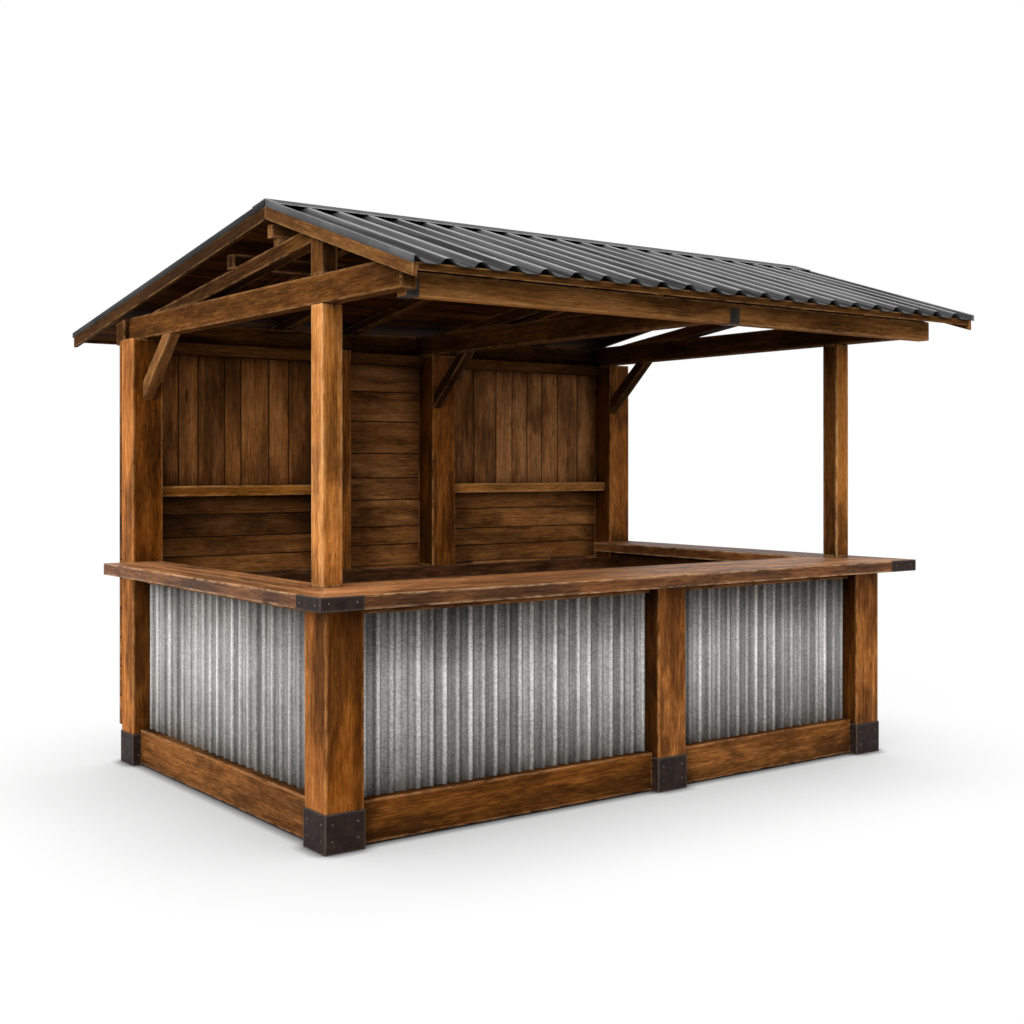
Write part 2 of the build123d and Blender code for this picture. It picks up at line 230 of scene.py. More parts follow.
def span_of(shape):
    """The low and the high corner of a shape's box."""
    places = [vert.co for vert in shape.verts]
    return [Vector([end(co[k] for co in places) for k in range(3)]) for end in (min, max)]


def solids_of(node):
    """Each separate solid of a CAD node, as a closed shape with whole flat faces."""
    source = bmesh.new()
    source.from_mesh(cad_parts[node].data)
    bmesh.ops.remove_doubles(source, verts=source.verts, dist=MERGE)
    bmesh.ops.dissolve_limit(
        source, angle_limit=FLAT_ANGLE, verts=source.verts[:], edges=source.edges[:]
    )
    source.verts.index_update()
    seen_verts = set()
    solids = []
    for first in source.verts:
        if first.index in seen_verts:
            continue
        seen_verts.add(first.index)
        group = [first]
        for vert in group:
            for edge in vert.link_edges:
                other = edge.other_vert(vert)
                if other.index not in seen_verts:
                    seen_verts.add(other.index)
                    group.append(other)
        solid = bmesh.new()
        copies = {vert.index: solid.verts.new(vert.co) for vert in group}
        faces = {face for vert in group for face in vert.link_faces}
        for face in sorted(faces, key=lambda f: f.index):
            solid.faces.new([copies[v.index] for v in face.verts])
        solids.append(solid)
    source.free()
    solids.sort(key=lambda s: [round(place, 4) for place in span_of(s)[0]])
    return solids


def long_way(shape):
    """Unit vectors along a timber's grain, across its width and through it."""
    edges = sorted(shape.edges, key=lambda e: -e.calc_length())
    along = (edges[0].verts[1].co - edges[0].verts[0].co).normalized()
    if max(along, key=abs) < 0:
        along = -along
    helper = Vector(UP if abs(along.z) < STEEP else RIGHT)
    across = along.cross(helper).normalized()
    return along, across, along.cross(across)


def ease(shape, eased=EASED, margin=MARGIN, stray=STRAY):
    """Rounds the edges of one timber and notes its grain, its worn edges and its tone."""
    along, across, through = long_way(shape)
    rounded = bmesh.ops.bevel(
        shape,
        geom=shape.edges[:],
        offset=eased,
        offset_type="OFFSET",
        segments=2,
        profile=0.5,
        affect="EDGES",
        clamp_overlap=True,
    )
    arris = set(rounded["faces"])
    flats = [face for face in shape.faces if face not in arris]
    wide = []
    for face in flats:
        longest = max(edge.calc_length() for edge in face.edges)
        if face.calc_area() / longest > NARROW * margin:
            wide.append(face)
    wear_and_painted_light = shape.verts.layers.float.new("wear_and_painted_light")
    for vert in shape.verts:
        vert[wear_and_painted_light] = 1.0
    if wide:
        bmesh.ops.inset_individual(shape, faces=wide, thickness=margin, use_even_offset=True)
        for face in wide:
            for vert in face.verts:
                vert[wear_and_painted_light] = 0.0
    reach = [vert.co.dot(along) for vert in shape.verts]
    start, length = min(reach), max(reach) - min(reach)
    cuts = int(length / CUT_STEP)
    for i in range(1, cuts):
        everything = shape.verts[:] + shape.edges[:] + shape.faces[:]
        place = along * (start + length * i / cuts)
        bmesh.ops.bisect_plane(
            shape, geom=everything, dist=CUT_TOLERANCE, plane_co=place, plane_no=along
        )
    shift = Vector([draw.uniform(0, 30) for _ in range(3)])
    tone_and_light = draw.random()
    grain, new_places = [], []
    for vert in shape.verts:
        co = vert.co
        grain.append(Vector((co.dot(along), co.dot(across), co.dot(through))) + shift)
        drift = noise.noise_vector(co * STRAY_SCALE + shift)
        new_places.append(co + (drift - along * drift.dot(along)) * stray)
    for vert, place in zip(shape.verts, new_places):
        vert.co = place
    shape.verts.index_update()
    faces = []
    for face in shape.faces:
        ring = [vert.index for vert in face.verts]
        first = ring.index(min(ring))
        faces.append(ring[first:] + ring[:first])
    made = {
        "verts": [vert.co.copy() for vert in shape.verts],
        "faces": sorted(faces),
        "grain": grain,
        "wear_and_painted_light": [vert[wear_and_painted_light] for vert in shape.verts],
        "tone_and_light": tone_and_light,
    }
    shape.free()
    return made


def paint_side_light(part, way, facing, others, depth=SKIN_DEPTH):
    """Paints the side of a timber that faces one way in one tone and the rest in another, as
    painted light and shade.
    """
    way = Vector(way)
    edge = max(vert.dot(way) for vert in part["verts"]) - depth
    part["tone_and_light"] = [facing if vert.dot(way) > edge else others for vert in part["verts"]]
    return part


def put_up(name, parts, finish, slot, *nodes):
    """Makes one piece of eased timbers or plates, and puts it in the place of its nodes."""
    verts, faces, grain, wear_and_painted_light, tone_and_light = [], [], [], [], []
    for part in parts:
        first = len(verts)
        verts += part["verts"]
        faces += [[first + i for i in face] for face in part["faces"]]
        grain += part["grain"]
        wear_and_painted_light += part["wear_and_painted_light"]
        same = isinstance(part["tone_and_light"], float)
        tone_and_light += [part["tone_and_light"]] * len(part["verts"]) if same else part["tone_and_light"]
    mesh = bpy.data.meshes.new(name)
    mesh.from_pydata(verts, [], faces)
    mesh.attributes.new("grain", "FLOAT_VECTOR", "POINT").data.foreach_set(
        "vector", [c for g in grain for c in g]
    )
    for label, values in (("wear_and_painted_light", wear_and_painted_light), ("tone_and_light", tone_and_light)):
        mesh.attributes.new(label, "FLOAT", "POINT").data.foreach_set("value", values)
    mesh.polygons.foreach_set("use_smooth", [True] * len(mesh.polygons))
    mesh.materials.append(finish)
    mesh.update()
    piece = bpy.data.objects.new(name, mesh)
    scene.collection.objects.link(piece)
    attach(piece, "root")
    if nodes:
        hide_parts(*nodes)
    return piece


def attribute(tree, name, output="Fac"):
    """What a mesh carries at its points under a name."""
    return wire(tree, "ShaderNodeAttribute", {"attribute_name": name}).outputs[output]


def stretched(tree, vector, *scale):
    """A place drawn out or pressed together along its three axes."""
    return wire(tree, "ShaderNodeMapping", Vector=vector, Scale=scale).outputs[0]


def clouds(tree, vector, scale, detail, roughness=0.5, distortion=0.0):
    """Noise between dark and light."""
    return wire(
        tree,
        "ShaderNodeTexNoise",
        Vector=vector,
        Scale=scale,
        Detail=detail,
        Roughness=roughness,
        Distortion=distortion,
    ).outputs["Fac"]


def ramp(tree, fac, *stops):
    """Colours or greys at places along a value."""
    made = wire(tree, "ShaderNodeValToRGB", Fac=fac)
    elements = made.color_ramp.elements
    while len(elements) < len(stops):
        elements.new(0.5)
    for element, (place, colour) in zip(elements, stops):
        element.position = place
        rgb = colour if isinstance(colour, tuple) else [colour] * 3
        element.color = (*rgb, 1)
    return made.outputs["Color"]


def mix(tree, kind, fac, first, second):
    """Two colours blended by a share."""
    return wire(
        tree, "ShaderNodeMixRGB", {"blend_type": kind}, Fac=fac, Color1=first, Color2=second
    ).outputs[0]


def surface(tree, relief, strength, depth, **inputs):
    """Ends a finish in one shader, its relief taken from a height."""
    bump = wire(tree, "ShaderNodeBump", Strength=strength, Distance=depth, Height=relief)
    skin = wire(tree, "ShaderNodeBsdfPrincipled", Normal=bump.outputs[0], **inputs)
    wire(tree, "ShaderNodeOutputMaterial", Surface=skin.outputs[0])


def stain(
    name, deep, mid, pale, worn_colour, blotch=0.5, wear=0.5, rough=0.65, gloss=0.05, seam=False
):
    """Dark stain over softwood: streaks, growth rings, knots, patches and rubbed edges, with
    painted shade in recesses and the painted light and shade that a piece's tone can carry.
    """
    finish, t = new_material(name)
    grain = attribute(t, "grain", "Vector")
    wear_and_painted_light = attribute(t, "wear_and_painted_light")
    tone_and_light = attribute(t, "tone_and_light")

    def along_grain(lengthways, crossways):
        return stretched(t, grain, lengthways, crossways, crossways)

    def streaks(lengthways, crossways, detail, roughness, distortion=0.0):
        place = along_grain(lengthways, crossways)
        return clouds(t, place, 1.0, detail, roughness, distortion)

    fibre = streaks(5.0, 150.0, 5.0, 0.75, 0.1)
    flake = streaks(15.0, 85.0, 3.0, 0.65, 0.4)
    figure = streaks(0.8, 17.0, 4.0, 0.55, 0.8)
    cloud = streaks(2.4, 8.0, 4.0, 0.6, 0.3)
    rings = maths(t, "SINE", maths(t, "MULTIPLY", figure, 52.0))
    patches = streaks(1.5, 5.0, 4.0, 0.62, 0.5)
    pores = streaks(22.0, 520.0, 2.0, 0.5)
    body = maths(t, "MULTIPLY", fibre, 0.36)
    for layer, share in ((figure, 0.20), (cloud, 0.22), (flake, 0.22), (rings, 0.012)):
        body = maths(t, "ADD", body, maths(t, "MULTIPLY", layer, share))
    colour = ramp(t, body, (0.40, deep), (0.50, mid), (0.59, pale))
    patchy = ramp(t, patches, (0.41, 1.0 - blotch), (0.55, 1.05))
    colour = mix(t, "MULTIPLY", 1.0, colour, patchy)
    colour = mix(t, "MULTIPLY", 0.7, colour, ramp(t, pores, (0.36, 0.45), (0.46, 1.0)))
    knots = wire(t, "ShaderNodeTexVoronoi", Vector=along_grain(2.8, 11.0), Scale=1.0)
    cell = wire(t, "ShaderNodeSeparateColor", Color=knots.outputs["Color"]).outputs[0]
    knot = ramp(t, knots.outputs["Distance"], (0.03, 1.0), (0.17, 0.0))
    knot = maths(t, "MULTIPLY", knot, maths(t, "GREATER_THAN", cell, 0.78))
    knot_colour = (*[c * 0.4 for c in deep], 1)
    colour = mix(t, "MIX", maths(t, "MULTIPLY", knot, 0.85), colour, knot_colour)
    # Painted shade: the colour is darkened where ambient occlusion finds other surfaces close by,
    # in recesses, corners and under things.
    recess_shade = wire(t, "ShaderNodeAmbientOcclusion", {"samples": 6}, Distance=0.20).outputs["AO"]
    colour = mix(t, "MULTIPLY", 1.0, colour, ramp(t, recess_shade, (0.36, 0.26), (0.82, 1.0)))
    # The tone lightens or darkens the whole colour: a random tone for each piece, and painted
    # light and shade where a piece or one of its sides is given a set tone.
    colour = wire(
        t,
        "ShaderNodeHueSaturation",
        Hue=rescaled(t, tone_and_light, 0.0, 1.0, 0.500, 0.503),
        Saturation=rescaled(t, tone_and_light, 0.0, 1.0, 1.06, 1.0),
        Value=rescaled(t, tone_and_light, 0.0, 1.0, 0.78, 1.2, clamp=False),
        Color=colour,
    ).outputs[0]
    if seam:
        rubbed = maths(t, "POWER", wear_and_painted_light, 1.5)
    else:
        chipped = ramp(t, streaks(12.0, 60.0, 4.0, 0.7), (0.38, 0.0), (0.60, 1.0))
        rubbed = maths(t, "MULTIPLY", wear_and_painted_light, chipped)
    colour = mix(t, "MIX", maths(t, "MULTIPLY", rubbed, wear), colour, (*worn_colour, 1))
    relief = maths(t, "ADD", maths(t, "MULTIPLY", fibre, 0.7), maths(t, "MULTIPLY", pores, 0.35))
    sheen = rescaled(t, fibre, 0.3, 0.7, rough + 0.12, rough - 0.08)
    surface(
        t, relief, 0.4, 0.0012, Base_Color=colour, Roughness=sheen, Specular_IOR_Level=gloss
    )
    return finish


post_stain = stain(
    "post_stain",
    deep=(0.105, 0.030, 0.0075),
    mid=(0.30, 0.098, 0.024),
    pale=(0.50, 0.190, 0.055),
    worn_colour=(0.66, 0.30, 0.10),
    blotch=0.6,
)


def put_up_posts(tones):
    """Puts up posts whose left sides and other sides take set tones, as painted light and shade.
    """
    for node, (left_face_light, other_faces_light) in tones.items():
        posts = [paint_side_light(ease(s), LEFT, left_face_light, other_faces_light) for s in solids_of(node)]
        put_up(node + "_timber", posts, post_stain, "posts_timber", node)


# Set tones for each post's left side and its other sides: painted light and shade.
put_up_posts(
    {
        "front_left_lower_post": (0.95, 0.05),
        "front_middle_lower_post": (-1.1, 1.8),
        "front_right_lower_post": (-1.0, 1.1),
    }
)


# The back posts: the same stock, one length from the shoe to the tie beam, with
# the wall boards nailed to their outer faces.
# Here too the left sides and the other sides take painted light and shade.
put_up_posts(
    {
        "back_left_post": (2.0, -0.45),
        "back_middle_posts": (-1.1, 0.4),
        "back_right_post": (-1.2, 0.6),
    }
)


# The shoes: folded from 4 mm steel plate, welded at the corners and blackened,
# and fixed to each face of a post with two round-headed screws.
SCREW_RADIUS = 0.0045
SCREW_RISE = 0.0022
HEAD_SIDES = 10
HEAD_RINGS = ((1.0, -0.25), (1.0, 0.25), (0.72, 0.8))
HEAD_WORN = 0.6
SHOE_SCREW_HEIGHTS = (0.055, 0.125)
SHOE_SCREW_INSET = Vector((0.035, 0.035))
SHOE_EASED = 0.0015
PLATE_MARGIN = 0.008
BACK_ROW_DEPTH = 0.9
RUBBED_STEEL = (0.115, 0.090, 0.078, 1)


def plate_finish(name, dark, light, rust, rough=0.6, metal=0.0):
    """Blackened steel with thin scale, a little rust bloom and bright rubbed edges."""
    finish, t = new_material(name)
    place = wire(t, "ShaderNodeTexCoord").outputs["Object"]
    speck = clouds(t, place, 170.0, 4.0, 0.7)
    colour = ramp(t, clouds(t, place, 22.0, 6.0, 0.65), (0.36, dark), (0.66, light))
    bloom = ramp(t, speck, (0.54, 0.0), (0.72, 1.0))
    colour = mix(t, "MIX", bloom, colour, (*rust, 1))
    edge = maths(t, "MULTIPLY", attribute(t, "wear_and_painted_light"), speck)
    colour = mix(t, "MIX", edge, colour, RUBBED_STEEL)
    surface(
        t,
        speck,
        0.35,
        0.001,
        Base_Color=colour,
        Roughness=rough,
        Metallic=metal,
        Specular_IOR_Level=0.15,
    )
    return finish


def screw_head(place, way, radius=SCREW_RADIUS, rise=SCREW_RISE):
    """A low domed head at a place, standing up along way."""
    way = Vector(way).normalized()
    side = way.orthogonal().normalized()
    other = way.cross(side)
    verts = []
    for out, up in HEAD_RINGS:
        for i in range(HEAD_SIDES):
            turn = 2 * math.pi * i / HEAD_SIDES
            spoke = side * math.cos(turn) + other * math.sin(turn)
            verts.append(Vector(place) + spoke * radius * out + way * rise * up)
    faces = [list(range(HEAD_SIDES))[::-1]]
    ring = 0
    for _ in HEAD_RINGS[1:]:
        for i in range(HEAD_SIDES):
            a, b = ring + i, ring + (i + 1) % HEAD_SIDES
            faces.append([a, b, b + HEAD_SIDES, a + HEAD_SIDES])
        ring += HEAD_SIDES
    top = len(verts)
    verts.append(Vector(place) + way * rise)
    faces += [[ring + i, ring + (i + 1) % HEAD_SIDES, top] for i in range(HEAD_SIDES)]
    wear_and_painted_light = [HEAD_WORN] * len(verts)
    return {"verts": verts, "faces": faces, "grain": verts, "wear_and_painted_light": wear_and_painted_light, "tone_and_light": 0.5}


blackened = plate_finish(
    "blackened_steel", (0.009, 0.0056, 0.0048), (0.031, 0.0175, 0.0145), (0.060, 0.022, 0.010)
)
screw_steel = plate_finish(
    "screw_steel", (0.10, 0.085, 0.075), (0.22, 0.19, 0.17), (0.12, 0.06, 0.03), 0.42, 0.8
)
shoes = solids_of("post_shoes")
heads = []
for shoe in shoes:
    low, high = span_of(shoe)
    for z in SHOE_SCREW_HEIGHTS:
        for x, y in (low.xy + SHOE_SCREW_INSET, high.xy - SHOE_SCREW_INSET):
            heads.append(screw_head((x, low.y, z), FORWARD))
            heads.append(screw_head((low.x, y, z), LEFT))
            heads.append(screw_head((high.x, y, z), RIGHT))
            if high.y < cad_high[1] - BACK_ROW_DEPTH:
                heads.append(screw_head((x, high.y, z), BACK))
put_up(
    "steel_shoes",
    [ease(s, SHOE_EASED, PLATE_MARGIN, stray=0) for s in shoes],
    blackened,
    "dark_steel",
    "post_shoes",
)
put_up("shoe_screws", heads, screw_steel, "dark_steel")


# The bottom and top rails: planks on edge between the posts, a finger's width
# off the ground, and thin rails that close the sides under the counter.
def lower_edge(solid, drop):
    """Lets the lower half of a board's section hang a little lower."""
    middle_z = sum(vert.co.z for vert in solid.verts) / len(solid.verts)
    for vert in solid.verts:
        if vert.co.z < middle_z:
            vert.co.z -= drop


rail_stain = stain(
    "rail_stain",
    deep=(0.095, 0.031, 0.0085),
    mid=(0.215, 0.078, 0.021),
    pale=(0.39, 0.150, 0.044),
    worn_colour=(0.58, 0.28, 0.12),
    blotch=0.55,
)
TOP_RAIL_DROP = 0.020
for node in ("front_bottom_rails", "end_bottom_rails", "back_bottom_rails", "top_rails"):
    rails = solids_of(node)
    if node == "top_rails":
        for rail in rails:
            lower_edge(rail, TOP_RAIL_DROP)
    put_up(node + "_timber", [ease(s) for s in rails], rail_stain, "posts_timber", node)


# The side panels: galvanised corrugated sheet, its waves upright, let in
# behind the posts and held between the bottom and the top rail.
WAVE_FRONT = 0.070
WAVE_END = 0.084
SHEET = 0.0012
ARC_STEPS = 16
CREST_SHARPNESS = 1.5


def galvanised_finish():
    """Weathered zinc: spangle, upright streaks and dull bloom, darker towards the foot, with
    painted highlights on the wave crests and painted shade on their flanks.
    """
    finish, t = new_material("galvanised_zinc")
    place = wire(t, "ShaderNodeTexCoord").outputs["Object"]
    spangle = wire(t, "ShaderNodeTexVoronoi", Vector=place, Scale=135.0)
    fleck = wire(t, "ShaderNodeSeparateColor", Color=spangle.outputs["Color"]).outputs[0]
    streak = clouds(t, stretched(t, place, 26.0, 26.0, 0.35), 1.0, 6.0, 0.72)
    cloud = clouds(t, place, 3.2, 5.0, 0.6)
    mixed = maths(t, "ADD", maths(t, "MULTIPLY", fleck, 0.14), maths(t, "MULTIPLY", streak, 0.61))
    mixed = maths(t, "ADD", mixed, maths(t, "MULTIPLY", cloud, 0.25))
    dull, usual, bright = (0.25, 0.245, 0.235), (0.46, 0.455, 0.44), (0.72, 0.72, 0.71)
    colour = ramp(t, mixed, (0.37, dull), (0.50, usual), (0.63, bright))
    # Painted highlight along each wave's crest and painted shade on its flanks, from the crest
    # height that the sheet carries.
    wave_light_and_shade = ((0.0, 0.78), (0.08, 0.70), (0.35, 0.46), (0.8, 0.86), (1.0, 1.40))
    colour = mix(t, "MULTIPLY", 1.0, colour, ramp(t, attribute(t, "wear_and_painted_light"), *wave_light_and_shade))
    bands = clouds(t, stretched(t, place, 13.0, 13.0, 0.15), 1.0, 1.0)
    band_level = rescaled(t, bands, 0.34, 0.66, 0.70, 1.28)
    colour = wire(t, "ShaderNodeHueSaturation", Value=band_level, Color=colour).outputs[0]
    # Darker towards the foot of the sheet, in streaks.
    height = wire(t, "ShaderNodeSeparateXYZ", Vector=place).outputs["Z"]
    lower_darkening = rescaled(t, height, 0.19, 0.27, 0.35, 0.0)
    darkening = maths(t, "MULTIPLY", lower_darkening, maths(t, "ADD", streak, 0.35))
    colour = mix(t, "MIX", darkening, colour, (0.12, 0.10, 0.075, 1))
    surface(
        t,
        mixed,
        0.10,
        0.0008,
        Base_Color=colour,
        Roughness=rescaled(t, fleck, 0.0, 1.0, 0.38, 0.60),
        Metallic=0.25,
        Specular_IOR_Level=0.35,
    )
    return finish


def bent_sheet(top_line, bottom_line, closed_back):
    """A thin sheet between two lines of points, with a second skin set behind it."""
    count = len(top_line)
    verts = list(top_line) + list(bottom_line)
    verts += [point + closed_back for point in top_line + bottom_line]
    faces = []
    for i in range(count - 1):
        a, b = i, i + 1
        faces.append([a, b, count + b, count + a])
        faces.append([2 * count + b, 2 * count + a, 3 * count + a, 3 * count + b])
        faces.append([b, a, 2 * count + a, 2 * count + b])
        faces.append([count + a, count + b, 3 * count + b, 3 * count + a])
    last = count - 1
    faces.append([0, count, 3 * count, 2 * count])
    faces.append([count + last, last, 2 * count + last, 3 * count + last])
    plain = [0.0] * len(verts)
    return {"verts": verts, "faces": faces, "grain": verts, "wear_and_painted_light": plain, "tone_and_light": draw.random()}


def corrugated(low, high, wave, outward):
    """One corrugated sheet that fills a box, its outer side towards outward."""
    lengthwise = 0 if outward.y else 1
    deep = 1 - lengthwise
    length = high[lengthwise] - low[lengthwise]
    waves = max(1, round(length / wave))
    swing = (high[deep] - low[deep]) / 2 - SHEET
    middle = (high[deep] + low[deep]) / 2
    side = outward.x + outward.y
    line = []
    for i in range(waves * ARC_STEPS + 1):
        turn = 2 * math.pi * i / ARC_STEPS
        point = [0.0, 0.0]
        point[lengthwise] = low[lengthwise] + length * i / (waves * ARC_STEPS)
        crest = (0.5 + 0.5 * math.sin(turn) * side) ** CREST_SHARPNESS
        crest = crest**2 * (3 - 2 * crest)
        point[deep] = middle + swing * (2 * crest - 1) * side
        line.append((*point, crest))
    if side * (1 if lengthwise == 0 else -1) > 0:
        line.reverse()
    top = [Vector((x, y, high[2])) for x, y, crest in line]
    bottom = [Vector((x, y, low[2])) for x, y, crest in line]
    made = bent_sheet(top, bottom, -outward * SHEET)
    # The sheet carries its crest height, which the finish turns into painted highlight and shade.
    made["wear_and_painted_light"] = [crest for x, y, crest in line] * 4
    return made


zinc = galvanised_finish()
middle_x = (cad_low[0] + cad_high[0]) / 2
for node, wave in (("front_panels", WAVE_FRONT), ("end_panels", WAVE_END)):
    sheets = []
    for solid in solids_of(node):
        low, high = span_of(solid)
        if node == "front_panels":
            outward = Vector(FORWARD)
        else:
            outward = Vector(LEFT if low.x < middle_x else RIGHT)
        sheets.append(corrugated(low, high, wave, outward))
        solid.free()
    put_up("galvanised_" + node, sheets, zinc, "galvanised_sheet", node)


# The inside of the base: thin boards laid along the sides, butted one over the
# other, in a much darker stain than the wall's, as painted shade inside the base.
BOARD_EASED = 0.002
BOARD_MARGIN = 0.006
LEAST_BOARD = 0.002


def sawn(solid, direction, places):
    """Boards of one solid, parted square to a direction at the places given."""
    direction = Vector(direction)
    reach = [vert.co.dot(direction) for vert in solid.verts]
    boards = []
    first, last = min(reach) + LEAST_BOARD, max(reach) - LEAST_BOARD
    limits = [min(reach), *[p for p in places if first < p < last], max(reach)]
    for start, end in zip(limits, limits[1:]):
        board = solid.copy()
        for place, side in ((start, 1), (end, -1)):
            if place in (limits[0], limits[-1]):
                continue
            everything = board.verts[:] + board.edges[:] + board.faces[:]
            cut = bmesh.ops.bisect_plane(
                board,
                geom=everything,
                dist=CUT_TOLERANCE,
                plane_co=direction * place,
                plane_no=direction * side,
                clear_inner=True,
            )
            rim = [part for part in cut["geom_cut"] if isinstance(part, bmesh.types.BMEdge)]
            bmesh.ops.holes_fill(board, edges=rim, sides=0)
        boards.append(board)
    solid.free()
    return boards


def even_places(low, high, width, unevenness=0.0):
    """Places that part a length into boards of about one width."""
    count = max(1, round((high - low) / width))
    step = (high - low) / count
    return [low + step * (i + draw.uniform(-unevenness, unevenness)) for i in range(1, count)]


wall_stain = stain(
    "wall_stain",
    deep=(0.17, 0.066, 0.022),
    mid=(0.40, 0.165, 0.058),
    pale=(0.62, 0.285, 0.115),
    worn_colour=(0.022, 0.008, 0.003),
    blotch=0.5,
    wear=1.0,
    rough=0.75,
    gloss=0.05,
    seam=True,
)
# Painted shade: the lining's stain is far darker than the wall's, for the shade inside the base.
shaded_lining_stain = stain(
    "shaded_lining_stain",
    deep=(0.040, 0.014, 0.0045),
    mid=(0.105, 0.040, 0.013),
    pale=(0.19, 0.080, 0.028),
    worn_colour=(0.012, 0.005, 0.002),
    wear=1.0,
    rough=0.8,
    gloss=0.04,
    seam=True,
)
LINING_BOARD = 0.14
lining_low, lining_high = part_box("inner_lining")
lining_seams = even_places(lining_low.z, lining_high.z, LINING_BOARD)
lining = [b for s in solids_of("inner_lining") for b in sawn(s, UP, lining_seams)]
put_up(
    "lining_boards",
    [ease(b, BOARD_EASED, BOARD_MARGIN) for b in lining],
    shaded_lining_stain,
    "wall_timber",
    "inner_lining",
)


# The counter: thick planks laid lengthwise and glued edge to edge, mitred at
# the front corners, the edge rubbed pale where people lean.
counter_stain = stain(
    "counter_stain",
    deep=(0.095, 0.030, 0.010),
    mid=(0.31, 0.118, 0.042),
    pale=(0.56, 0.245, 0.098),
    worn_colour=(0.85, 0.52, 0.28),
    blotch=0.5,
    wear=0.55,
    rough=0.48,
    gloss=0.18,
)
FRONT_PLANK = 0.13
END_PLANK = 0.105
# The tone that the sides of the planks take at most: painted shade.
SHADED_PLANK_SIDES = -0.6
TOP_SKIN = 0.0015
PLANK_EASED = 0.0025
PLANK_MARGIN = 0.009
PLANK_STRAY = 0.0005
PLANK_UNEVEN = 0.12
PLANK_TONES = 0.8
# The last column lifts the tops of the planks as painted light, most on the front counter where it
# stands in for a sheen, and lowers the right counter's as painted shade under the roof.
for node, direction, width, shift in (
    ("front_counter", BACK, FRONT_PLANK, 3.0),
    ("left_counter", RIGHT, END_PLANK, 1.7),
    ("right_counter", RIGHT, END_PLANK, -0.6),
):
    low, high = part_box(node)
    axis = direction.index(1)
    planks = []
    for solid in solids_of(node):
        seams = even_places(low[axis], high[axis], width, PLANK_UNEVEN)
        planks += sawn(solid, direction, seams)
    eased = [ease(p, PLANK_EASED, PLANK_MARGIN, PLANK_STRAY) for p in planks]
    # Each plank's top takes the painted light and its sides a painted shaded tone.
    for plank in eased:
        lit_top_tone = plank["tone_and_light"] * PLANK_TONES + shift
        paint_side_light(plank, UP, lit_top_tone, min(lit_top_tone, SHADED_PLANK_SIDES), TOP_SKIN)
    put_up(node + "_planks", eased, counter_stain, "counter_timber", node)


# The corner irons: blackened plates folded round the counter's front corners,
# each leg fixed with two screws.
IRON_SCREW_PLACES = (0.04, 0.17)
IRON_SCREW_STAGGER = 0.004
IRON_EASED = 0.0018
IRON_MARGIN = 0.007
irons = solids_of("counter_brackets")
heads = []
for iron in irons:
    low, high = span_of(iron)
    z = (low.z + high.z) / 2
    left_hand = low.x < middle_x
    corner_x = low.x if left_hand else high.x
    inward = 1 if left_hand else -1
    for step in IRON_SCREW_PLACES:
        front_screw = (corner_x + inward * step, low.y, z + IRON_SCREW_STAGGER)
        end_screw = (corner_x, low.y + step, z - IRON_SCREW_STAGGER)
        heads.append(screw_head(front_screw, FORWARD))
        heads.append(screw_head(end_screw, (-inward, 0, 0)))
put_up(
    "counter_corner_irons",
    [ease(i, IRON_EASED, IRON_MARGIN, stray=0) for i in irons],
    blackened,
    "dark_steel",
    "counter_brackets",
)
put_up("corner_iron_screws", heads, screw_steel, "dark_steel")


# The ledge along the back wall: two planks of dark stock at the height of the
# counter, notched round the posts.
LEDGE_PLANK = 0.125
ledge_low, ledge_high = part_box("back_ledge")
ledge_stain = stain(
    "ledge_stain",
    deep=(0.035, 0.013, 0.006),
    mid=(0.105, 0.042, 0.018),
    pale=(0.20, 0.088, 0.040),
    worn_colour=(0.34, 0.18, 0.09),
    wear=0.6,
    rough=0.65,
    gloss=0.05,
)
ledge = []
for solid in solids_of("back_ledge"):
    ledge += sawn(solid, BACK, even_places(ledge_low.y, ledge_high.y, LEDGE_PLANK))
put_up(
    "back_ledge_planks",
    [ease(p, PLANK_EASED, PLANK_MARGIN) for p in ledge],
    ledge_stain,
    "counter_timber",
    "back_ledge",
)


# The back wall: boards with rubbed-off arrises nailed to the outside of the
# posts, upright above the shelf and lying below it, lying in the middle bay.
SEAM_MARGIN = 0.004
NAILED_STRAY = 0.0002
left_upright_seams = (-1.52, -1.366, -1.249, -1.086, -0.983, -0.808, -0.678)
right_upright_seams = (0.499, 0.664, 0.841, 0.972, 1.097, 1.22, 1.358, 1.53, 1.70)
middle_seams = (0.36, 0.52, 0.68, 0.84, 1.0, 1.129, 1.241, 1.408, 1.544, 1.695, 1.893, 2.076)
low_seams = (0.36, 0.52, 0.68, 0.84, 1.0, 1.105, 1.214, 1.342)
# Columns: node, the way the boards are parted, the seams, a tone shift for the wall, and a step by
# which each board is darker than the one below it, painted shade that deepens towards the top.
walls = (
    ("left_wall_upper_boards", RIGHT, left_upright_seams, -0.7, 0.0),
    ("right_wall_upper_boards", RIGHT, right_upright_seams, 0.35, 0.0),
    ("middle_wall_boards", UP, middle_seams, -0.15, 0.0),
    ("left_wall_lower_boards", UP, low_seams, 0.2, -0.22),
    ("right_wall_lower_boards", UP, low_seams, 0.4, -0.16),
)
for node, direction, seams, shift, step in walls:
    boards = [b for s in solids_of(node) for b in sawn(s, direction, seams)]
    eased = [ease(b, BOARD_EASED, SEAM_MARGIN, NAILED_STRAY) for b in boards]
    for count, board in enumerate(eased):
        # The step darkens the lower walls board by board upwards: painted shade.
        board["tone_and_light"] += shift + step * count
    put_up(node + "_nailed", eased, wall_stain, "wall_timber", node)


